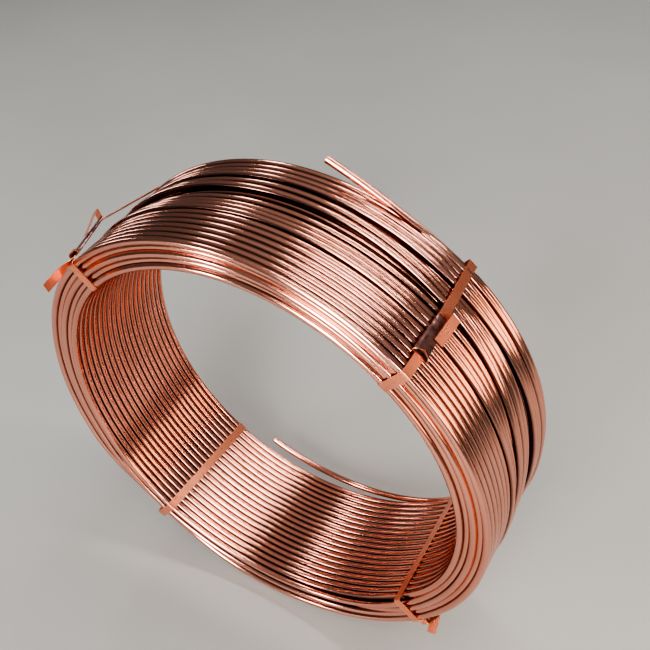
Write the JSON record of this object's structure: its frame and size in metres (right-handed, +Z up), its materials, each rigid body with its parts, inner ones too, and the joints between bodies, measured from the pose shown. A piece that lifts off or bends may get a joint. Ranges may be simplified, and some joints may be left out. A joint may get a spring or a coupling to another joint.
{
  "type": "copper tube coil",
  "caption": "Level-wound coil of bright copper tube lying on its side, held by flat metal straps with crimped seals, its tube ends loose and open.",
  "frame": {"origin": "centre of the coil on its axis, midway between its two end faces", "axes": "+Y along the coil's axis from the front end to the back end, where the tube's ends leave; +Z up as the coil lies on its side"},
  "size_m": [0.8673, 0.3493, 0.9107],
  "materials": {
    "copper_tube": "bright drawn copper, slightly streaked",
    "strap": "satin copper-coloured band",
    "seal": "dark brown, crimped"
  },
  "bodies": {
    "root": {"tube_coil": "copper_tube", "strap_1": "strap", "strap_2": "strap", "strap_3": "strap", "strap_4": "strap", "seal_1": "seal", "seal_2": "seal", "seal_3": "seal", "seal_4": "seal"}
  },
  "joints": []
}
